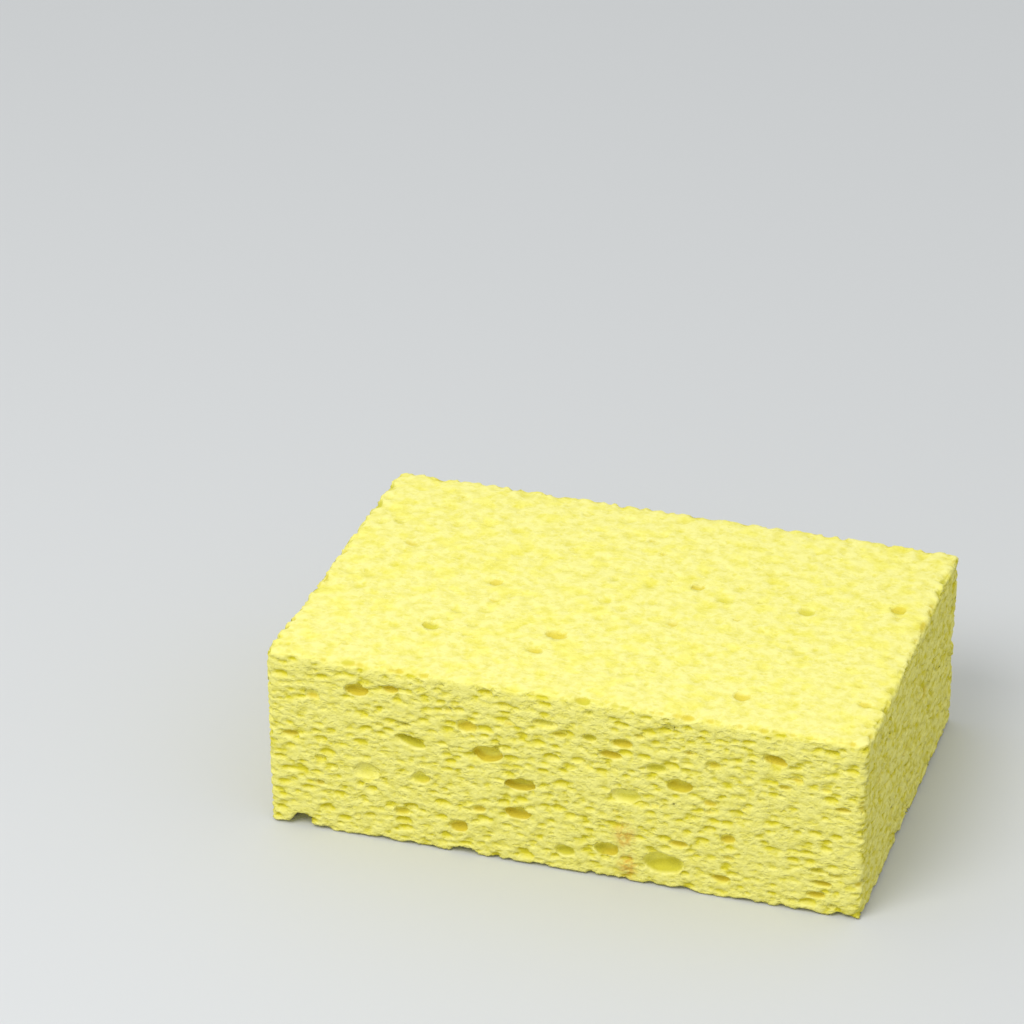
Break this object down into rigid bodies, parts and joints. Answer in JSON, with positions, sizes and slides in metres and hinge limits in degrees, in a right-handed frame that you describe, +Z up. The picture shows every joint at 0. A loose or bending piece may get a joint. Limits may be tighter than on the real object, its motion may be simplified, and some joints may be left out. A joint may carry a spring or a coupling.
{
  "type": "cellulose sponge",
  "caption": "Yellow cellulose household sponge: a cut rectangular block, open cells of mixed size on every face, nicked edges, one small stain.",
  "frame": {"origin": "middle of the block's underside", "axes": "+X along the length, towards the sharper-cornered end; +Y across the width, away from the front face, the long side the picture shows; +Z up through the thickness"},
  "size_m": [0.152, 0.102, 0.049],
  "materials": {
    "yellow_cellulose": "matt, dry, finely porous foam"
  },
  "bodies": {
    "root": {"sponge_block": "yellow_cellulose"}
  },
  "joints": []
}
